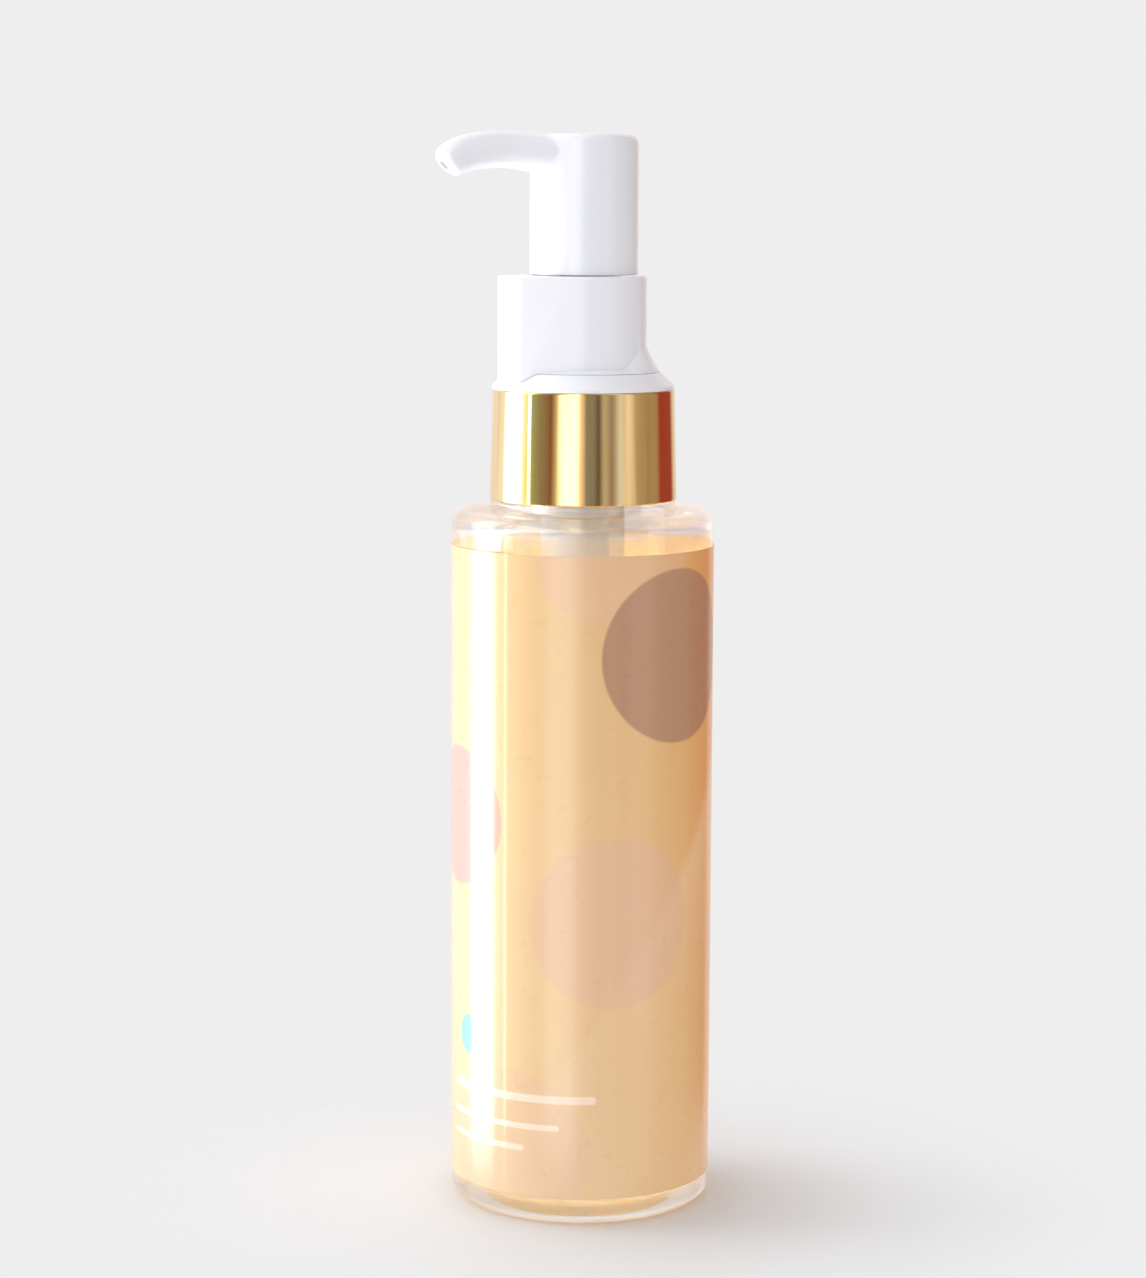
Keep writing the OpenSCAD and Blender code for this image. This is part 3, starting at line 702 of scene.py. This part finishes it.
def closure_cap():
    """The screw closure, with its shoulder cone, its opening and the thread in its bore."""
    low, high = CLOSURE_LO.z, CLOSURE_HI.z
    edge_r, edge_z = CLOSURE_HI.x, COLLAR_HI.z
    skirt_r = edge_r - SKIRT_INSET
    rows = 40
    profile = [tuple(v) for v in rounded([
        (CLOSURE_BORE_R, low, 0), (skirt_r + 0.42, low, 0.2), (skirt_r, edge_z, 0),
        (edge_r, edge_z, 0.1), (edge_r, edge_z + EDGE_BAND, 0.25), (CLIP_FOOT_R, high, 0.1),
        (CLOSURE_HOLE_R, high, 0.2), (CLOSURE_HOLE_R, CEILING_Z, 0), (CLOSURE_BORE_R, CEILING_Z, 0),
    ])]
    profile += [(CLOSURE_BORE_R, CEILING_Z - (CEILING_Z - low) * k / rows) for k in range(1, rows)]
    start = THREAD_Z - THREAD_PITCH / 2
    ridge_h, turns, root_w, crest_w = 1.15, 1, 1.4, 0.6

    def thread(r, z, angle):
        """Raises the ridge inwards on the wall of the bore only."""
        if abs(r - CLOSURE_BORE_R) > 0.01 or not low + 1 < z < CEILING_Z - 1:
            return r
        return r - ridge_h * ridge(z, angle, start, turns, root_w, crest_w)

    return lathe("closure_cap", profile, True, SEGMENTS, thread)


def nose_outline(shrink=0.0):
    """The clip's plan from above, as points: a round wall with a flat-faced nose toward -X."""
    reach = -CLIP_LO.x
    corner_r = math.hypot(reach, NOSE_HALF_W)
    touch = math.atan2(NOSE_HALF_W, reach) + math.acos(CLIP_R / corner_r)
    foot_x, foot_y = -CLIP_R * math.cos(touch), CLIP_R * math.sin(touch)
    nose = [(foot_x, foot_y, 0), (-reach, NOSE_HALF_W, 1.0), (-reach, -NOSE_HALF_W, 1.0),
            (foot_x, -foot_y, 0)]
    points = rounded(nose, False, math.radians(12))
    sweep = 2 * (math.pi - touch)
    steps = 110
    for k in range(1, steps):
        a = math.pi + touch + sweep * k / steps
        points.append(Vector((CLIP_R * math.cos(a), CLIP_R * math.sin(a))))
    if not shrink:
        return points
    moved = []
    for i, here in enumerate(points):
        along = (points[(i + 1) % len(points)] - points[i - 1]).normalized()
        moved.append(here - Vector((along.y, -along.x)) * shrink)
    return moved


def sleeve_blank():
    """The clip before it is cut: a wall with an eased top, which laps over the closure's cone."""
    low, high = CLIP_LO.z - CLIP_LAP, CLIP_HI.z
    chamfer, ease, steps = 0.12, 0.45, 6
    rings = [(chamfer, low), (0.0, low + chamfer)]
    for k in range(steps + 1):
        a = math.pi / 2 * k / steps
        rings.append((ease * (1 - math.cos(a)), high - ease + ease * math.sin(a)))
    sections = [[(v.x, v.y, z) for v in nose_outline(inset)] for inset, z in rings]
    return loft("lock_sleeve", sections, 30)


def flared_foot():
    """The clip's foot, which flares out: tall beside the split and low elsewhere."""
    low = CLIP_LO.z
    tall, drop, rows = 4.2, 3.6, 28
    tall_until, low_from = 48, 82
    root_r = CLIP_R - 0.12

    def flare(r, z, angle):
        """The radius, which falls from the foot's to the wall's over the flare's height."""
        if r < CLIP_R - 0.3:
            return r
        turn = math.degrees(abs((angle + math.pi) % (2 * math.pi) - math.pi))
        share = min(1, max(0, (turn - tall_until) / (low_from - tall_until)))
        height = tall - drop * share * share * (3 - 2 * share)
        rest = max(0, 1 - (z - low) / height)
        return root_r + (CLIP_FOOT_R - root_r) * rest ** 1.25

    curve = [(CLIP_FOOT_R, low + tall * k / rows) for k in range(rows + 1)]
    return lathe("foot", [(0, low), *curve, (0, low + tall)], False, SEGMENTS, flare)


def lock_sleeve():
    """The lock clip: a split sleeve with a finger nose under the spout and a flared foot."""
    low, high = CLIP_LO.z, CLIP_HI.z
    sleeve = sleeve_blank()
    combine(sleeve, [flared_foot()], "UNION", 30)
    floor_z = low + 1.2
    bore_r, chamfer = CLIP_R - 1.05, 0.3
    bore = lathe("bore", [
        (0, floor_z), (bore_r, floor_z), (bore_r, high - chamfer),
        (bore_r + chamfer, high + 0.02), (bore_r + chamfer, high + 1), (0, high + 1)], False)
    hole = cylinder("hole", SLOT_HALF_W, low - 2, floor_z + 1)
    gap = slab("gap", (0, -SLOT_HALF_W, low - 2), (CLIP_FOOT_R + 1, SLOT_HALF_W, high + 2))
    edge_r, edge_z = CLOSURE_HI.x + 0.1, COLLAR_HI.z + EDGE_BAND
    seat = lathe("seat", [
        (0, low - 3), (edge_r, low - 3), (edge_r, edge_z), (CLIP_FOOT_R + 0.06, low),
        (0, low)], False)
    combine(sleeve, [bore, hole, gap, seat], "DIFFERENCE", 30)
    return sleeve


def spout_frame(t):
    """Middle of the spout and its pitch at t from 0 at the root to 1 at the mouth."""
    fall, arch, root_x = 2.1, 0.45, 3.0
    mouth_pitch, mouth_pull = math.pi / 4, 4.6
    root = Vector((root_x, SPOUT_Z))
    end = Vector((SPOUT_REACH - 0.89 * SPOUT_R * math.sin(mouth_pitch), SPOUT_Z - fall))
    lead = Vector((root.x + 0.45 * (end.x - root.x), SPOUT_Z + arch))
    trail = end - mouth_pull * Vector((math.cos(mouth_pitch), -math.sin(mouth_pitch)))
    u = 1 - t
    middle = u ** 3 * root + 3 * u * u * t * lead + 3 * u * t * t * trail + t ** 3 * end
    slope = u * u * (lead - root) + 2 * u * t * (trail - lead) + t * t * (end - trail)
    return middle, math.atan2(slope.y, slope.x)


def spout_sections(t0, t1, rings, sides, size):
    """Rings of the spout. size(t) gives its half width, upper half height and lower half height."""
    sections = []
    for i in range(rings):
        t = t0 + (t1 - t0) * i / (rings - 1)
        middle, pitch = spout_frame(t)
        half_w, upper, lower = size(t)
        section = []
        for k in range(sides):
            a = 2 * math.pi * k / sides
            rise = math.cos(a) * (upper if math.cos(a) > 0 else lower)
            section.append((-(middle.x - rise * math.sin(pitch)), half_w * math.sin(a),
                            middle.y + rise * math.cos(pitch)))
        sections.append(section)
    return sections


def spout_outside(t):
    """Half width, upper half height and lower half height of the spout: widest and deepest at its
    root, narrower towards its mouth, with a rounded lip."""
    grow = max(0.0, 1 - t / 0.55) ** 2
    deepen = max(0.0, 1 - t / 0.42) ** 1.5
    taper = 1 if t < 0.8 else 1 - 0.11 * (t - 0.8) / 0.2
    lip = min(1.0, max(0.0, (t - 0.92) / 0.08))
    taper *= 1 - 0.45 * (1 - math.sqrt(1 - lip * lip))
    half_w = SPOUT_R + (HEAD_R - 1.5 - SPOUT_R) * grow
    return half_w * taper, SPOUT_R * taper, (SPOUT_R + 1.5 * deepen) * taper


def spout_inside(t):
    """The same three measures of the spout's bore, which narrows towards the mouth."""
    size = SPOUT_BORE_R - 0.35 * min(1.0, max(0.0, (t - 0.8) / 0.15))
    return size, size, size


def head_blank(low):
    """The head before it is bored: a round body and a spout, joined and softened into one skin,
    with a slight dish in the crown."""
    body = lathe("head_cap", [tuple(v) for v in rounded([
        (0, low, 0), (HEAD_R, low, 0), (HEAD_R, HEAD_Z1, 1.7), (0, HEAD_Z1, 0)],
        False)], False, 128)
    spout = loft("spout", spout_sections(0, 1, 97, 48, spout_outside))
    combine(body, [spout], "UNION")
    skin = body.modifiers.new("skin", "REMESH")
    skin.mode = "VOXEL"
    skin.voxel_size = 0.22 * MM
    soften = body.modifiers.new("soften", "SMOOTH")
    soften.factor = 0.5
    soften.iterations = 14
    apply_modifiers(body)
    dish_r, dish_h = HEAD_R - 1.2, 0.28
    for v in body.data.vertices:
        x, y, z = v.co / MM
        r = math.hypot(x, y)
        if z > HEAD_Z1 - 1.0 and r < dish_r:
            v.co.z -= dish_h * (1 - (r / dish_r) ** 2) * MM
    return body


def head_cap():
    """The pump head: a round body with a spout that grows out of its top, bored for the stem and
    the oil. Its mouth is cut last from a blank that starts lower."""
    low = HEAD_Z0 - 0.2
    body = head_blank(low - 1.5)
    inner_r, socket_r = HEAD_R - HEAD_WALL, STEM_R + 1.6
    crown_z = HEAD_Z1 - 2 * SPOUT_R - 3.4
    hollow = lathe("hollow", [
        (socket_r, low + 1), (inner_r, low + 1), (inner_r, crown_z), (socket_r, crown_z)], True, 96)
    mouth = lathe("mouth", [
        (0, low - 3), (HEAD_R + 1, low - 3), (HEAD_R + 1, low + 0.15), (HEAD_R + 0.03, low + 0.15),
        (HEAD_R - 0.12, low), (HEAD_R - 0.85, low), (inner_r, low + 0.3), (inner_r, low + 1.01),
        (0, low + 1.01)], False, 96)
    bore_top = HEAD_Z0 + 8.2
    bore = cylinder("stem_bore", STEM_R, low, bore_top, 96)
    riser = cylinder("riser", SPOUT_BORE_R, bore_top - 0.1, SPOUT_Z + 0.6, 48)
    way = loft("way", spout_sections(-0.12, 1.04, 40, 32, spout_inside))
    combine(body, [hollow, mouth, bore, riser, way], "DIFFERENCE", 42)
    return body


def stem_tube():
    """The stem below the head, with its bore, its outlet valve seat and eased edges."""
    low, high = STEM_LO.z, STEM_HI.z
    bore_r, pocket_r, seat_r = 2.2, 1.75, 0.9
    seat_z = high - 5.4
    return lathe("stem_tube", [tuple(v) for v in rounded([
        (bore_r, low, 0.1), (STEM_R, low, 0.15), (STEM_R, high, 0.15), (pocket_r, high, 0),
        (pocket_r, seat_z + 1.7, 0), (seat_r, seat_z + 0.9, 0), (seat_r, seat_z, 0),
        (bore_r, seat_z, 0)])], True, 96)


def chaplet_cap():
    """The cap of the pump housing, whose bore guides the stem."""
    low, high = CHAPLET_LO.z, CHAPLET_HI.z
    guide_r, plug_r, rim_r = STEM_R + 0.1, 5.5, 7.1
    rim_z, roof_z = 125.25, 126.55
    return lathe("chaplet_cap", [tuple(v) for v in rounded([
        (guide_r, low, 0.1), (plug_r, low, 0.15), (plug_r, roof_z, 0), (HOUSING_R, roof_z, 0),
        (HOUSING_R, rim_z, 0), (rim_r, rim_z, 0.1), (rim_r, high, 0.3),
        (guide_r, high, 0.35)])], True, 96)


# ---------------------------------------------------------------- stage

VIEW_AZIMUTH = math.radians(-27)
BACKDROP = tone(238, 238, 238)

LENS = 95.16
CAMERA_BACK = 514
CAMERA_ASIDE = -1.4
CAMERA_UP = 155
CAMERA_PITCH = math.radians(-7.54)
CAMERA_ROLL = math.radians(0.26)

FLOOR_R = 600
FLOOR_FADE = (24, 90)


def grey(value):
    """A neutral linear colour."""
    return (value, value, value)


# Light from all round, as stops (degrees, linear colour): 0 is towards the camera, 90 is to its
# right and 180 is behind the object
WINDOW_STOPS = (
    (-178, grey(0.16)), (-150, grey(0.2)), (-118, grey(0.55)), (-108, grey(1)), (-86, grey(1)),
    (-81, grey(0)), (178, grey(0)),
)
PANE_STOPS = (
    (-178, grey(0.01)), (-116, grey(0.01)), (-106, grey(1)), (-86, grey(1)), (-81, grey(0)),
    (178, grey(0)),
)
STRIP_STOPS = ((-72.5, grey(0)), (-71.3, grey(1)), (-69.8, grey(1)), (-68.6, grey(0)))
SOFT_STOPS = (
    (-180, (0.5, 0.5, 0.52)), (-90, (0.66, 0.66, 0.69)), (-40, (0.63, 0.63, 0.65)),
    (0, (0.49, 0.49, 0.5)), (40, (0.37, 0.365, 0.37)), (110, (0.37, 0.35, 0.345)),
    (180, (0.5, 0.49, 0.5)),
)
ROOM_STOPS = (
    (-180, (0.42, 0.4, 0.42)), (-131, (0.42, 0.41, 0.46)), (-112, (0.5, 0.54, 0.6)),
    (-78, (0.62, 0.68, 0.56)), (-68, (0.2, 0.24, 0.17)), (-60, (0.17, 0.18, 0.13)),
    (-50, (0.14, 0.11, 0.08)), (-40, (0.13, 0.06, 0.04)), (-34, (0.3, 0.26, 0.2)),
    (-26, (1.1, 1.1, 1.05)), (-9, grey(1.2)), (-3, (0.6, 0.45, 0.4)),
    (4, grey(0.14)), (13, (0.13, 0.12, 0.12)), (19, (0.06, 0.05, 0.05)),
    (26, (0.28, 0.26, 0.24)), (36, (0.16, 0.13, 0.13)), (46, (0.36, 0.38, 0.42)),
    (60, (0.46, 0.42, 0.4)), (70, (0.25, 0.21, 0.18)), (84, (0.2, 0.16, 0.11)),
    (104, (0.2, 0.15, 0.11)), (111, (0.18, 0.03, 0.02)), (140, (0.17, 0.035, 0.03)),
    (152, (0.4, 0.33, 0.28)), (180, (0.42, 0.4, 0.42)),
)
WINDOW_STRENGTH = 3.9
PANE_STRENGTH = 9.0
STRIP_STRENGTH = 6.0
SOFT_STRENGTH = 1.9
ROOM_STRENGTH = 2.0

# The windows fade out overhead, between these heights on a sphere of radius 1 round the object
WINDOW_FADE = (0.5, 0.8)


def light_ramp(nodes, share, stops, strength):
    """The light that comes from each direction, where the share goes once round from 0 to 1."""
    made = nodes.node("ShaderNodeValToRGB")
    made.color_ramp.interpolation = "LINEAR"
    points = made.color_ramp.elements
    while len(points) > 1:
        points.remove(points[-1])
    for i, (degrees, colour) in enumerate(stops):
        place = degrees / 360 + 0.5
        point = points[0] if i == 0 else points.new(place)
        point.position = place
        point.color = (*colour, 1)
    nodes.put(made.inputs["Fac"], share)
    return nodes.scaled(made.outputs["Color"], strength)


def make_world():
    """Plain pale to the camera. Reflections show a room with a window pane and a strip of light at
    the left, and all else is lit by a soft room with one tall window there."""
    world = bpy.data.worlds.new("studio")
    SCENE.world = world
    world.use_nodes = True
    world.node_tree.nodes.clear()
    nodes = Nodes(world.node_tree)
    towards = nodes.node("ShaderNodeTexCoord").outputs["Generated"]
    direction, rise = nodes.turned(towards, math.pi / 2 - VIEW_AZIMUTH)
    share = nodes.fit(direction, -math.pi, math.pi)
    low_down = nodes.fit(rise, *WINDOW_FADE, 1.0, 0.0, True)
    window = light_ramp(nodes, share, WINDOW_STOPS, WINDOW_STRENGTH)
    pane = light_ramp(nodes, share, PANE_STOPS, PANE_STRENGTH)
    strip = light_ramp(nodes, share, STRIP_STOPS, STRIP_STRENGTH)
    soft = light_ramp(nodes, share, SOFT_STOPS, SOFT_STRENGTH)
    room = light_ramp(nodes, share, ROOM_STOPS, ROOM_STRENGTH)
    lighting = nodes.added(soft, nodes.scaled(window, low_down))
    mirrored = nodes.added(room, nodes.scaled(nodes.added(pane, strip), low_down))
    path = nodes.node("ShaderNodeLightPath").outputs
    colour = nodes.mix(path["Is Glossy Ray"], lighting, mirrored)
    colour = nodes.mix(path["Is Camera Ray"], colour, BACKDROP)
    background = nodes.node("ShaderNodeBackground")
    nodes.put(background.inputs["Color"], colour)
    surface = nodes.node("ShaderNodeOutputWorld").inputs["Surface"]
    nodes.put(surface, background.outputs[0])


def disc(radius, sides):
    """Points and the one face of a flat round plate on the ground."""
    turns = [2 * math.pi * k / sides for k in range(sides)]
    verts = [(radius * math.cos(a), radius * math.sin(a), 0) for a in turns]
    return verts, [tuple(range(sides))]


def make_floor():
    """A pale round floor that fades into the backdrop."""
    floor = finish_mesh("floor", *disc(FLOOR_R, 96))
    p = Paint("floor_paint")
    from_middle = p.node("ShaderNodeVectorMath", operation="LENGTH")
    p.put(from_middle.inputs[0], p.mm)
    p.set(Base_Color=p.mix(p.noise(0.02, 3.0), tone(218, 219, 220), tone(222, 223, 224)))
    p.set(Roughness=0.7, Specular_IOR_Level=0.15)
    p.set(Alpha=p.fit(from_middle.outputs["Value"], *FLOOR_FADE, 1.0, 0.012, True))
    floor.data.materials.append(p.material)


def make_camera():
    """The camera, at a slightly downward pitch with a trace of roll, as the photograph shows."""
    data = bpy.data.cameras.new("camera")
    camera = bpy.data.objects.new("camera", data)
    SCENE.collection.objects.link(camera)
    data.lens = LENS
    back = Vector((math.sin(VIEW_AZIMUTH), -math.cos(VIEW_AZIMUTH), 0)) * CAMERA_BACK
    aside = Vector((math.cos(VIEW_AZIMUTH), math.sin(VIEW_AZIMUTH), 0)) * CAMERA_ASIDE
    place = (back + aside + Vector((0, 0, CAMERA_UP))) * MM
    turn = (Matrix.Rotation(VIEW_AZIMUTH, 4, "Z")
            @ Matrix.Rotation(math.pi / 2 + CAMERA_PITCH, 4, "X")
            @ Matrix.Rotation(CAMERA_ROLL, 4, "Z"))
    camera.matrix_world = Matrix.Translation(place) @ turn
    SCENE.camera = camera


# ---------------------------------------------------------------- build

white = moulded_white("white_gloss", tone(243, 244, 249), tone(238, 239, 244))
natural = soft_white("natural_plastic", tone(232, 234, 236), tone(222, 224, 228), 0.35)
seal = soft_white("seal_foam", tone(228, 228, 222), tone(218, 218, 212), 0.5)
steel = bright_steel("spring_wire", 0.28, (1, 1, 6))
balls = bright_steel("ground_ball", 0.1, (1, 1, 1))
clear = clear_plastic("clear_pet", tone(250, 251, 250), tone(246, 248, 247),
                      PET_IOR, 0.02, 0.38, 0.04)
oil = clear_plastic("pale_oil", tone(253, 232, 186), tone(252, 220, 160),
                    OIL_IOR, 0.01, 0.4, 0.28)
tubing = clear_plastic("clear_tubing", tone(246, 248, 250), tone(240, 242, 245),
                       TUBING_IOR, 0.01, 0.6)

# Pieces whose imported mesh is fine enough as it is, with only a material added
NODE_PAINT = {
    "neck_gasket": seal, "pump_housing": natural, "dip_tube": tubing, "inlet_ball": balls,
    "inlet_ball_cage": natural, "return_spring": steel, "piston": natural,
    "piston_carrier": natural, "stem_wiper": seal, "outlet_ball": balls,
}
for node_name, paint in NODE_PAINT.items():
    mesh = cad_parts[node_name].data
    mesh.materials.clear()
    mesh.materials.append(paint)

# Pieces that are made anew: (function, materials, body, replaced node, slot)
PIECES = (
    (bottle_shell, (clear,), "bottle_body", "bottle", "clear_bottle"),
    (oil_body, (oil,), "bottle_body", "oil_fill", "oil"),
    (label_wrap, (printed_label(), label_back()), "bottle_body", "label_film", "label_film"),
    (collar_shell, (polished_gold(),), "closure_unit", "gold_collar", "gold_collar"),
    (closure_cap, (white,), "closure_unit", "closure", "white_plastic"),
    (lock_sleeve, (white,), "clip_unit", "lock_clip", "white_plastic"),
    (head_cap, (white,), "head_unit", "pump_head", "white_plastic"),
    (stem_tube, (white,), "head_unit", "stem", "white_plastic"),
    (chaplet_cap, (white,), "pump_core", "chaplet", "white_plastic"),
)
for make, paints, body, node_name, slot in PIECES:
    piece = make()
    indices = [face.material_index for face in piece.data.polygons]
    piece.data.materials.clear()
    for paint in paints:
        piece.data.materials.append(paint)
    piece.data.polygons.foreach_set("material_index", indices)
    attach(piece, body)
    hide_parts(node_name)

make_floor()
make_world()
make_camera()
SCENE.view_settings.view_transform = "Standard"
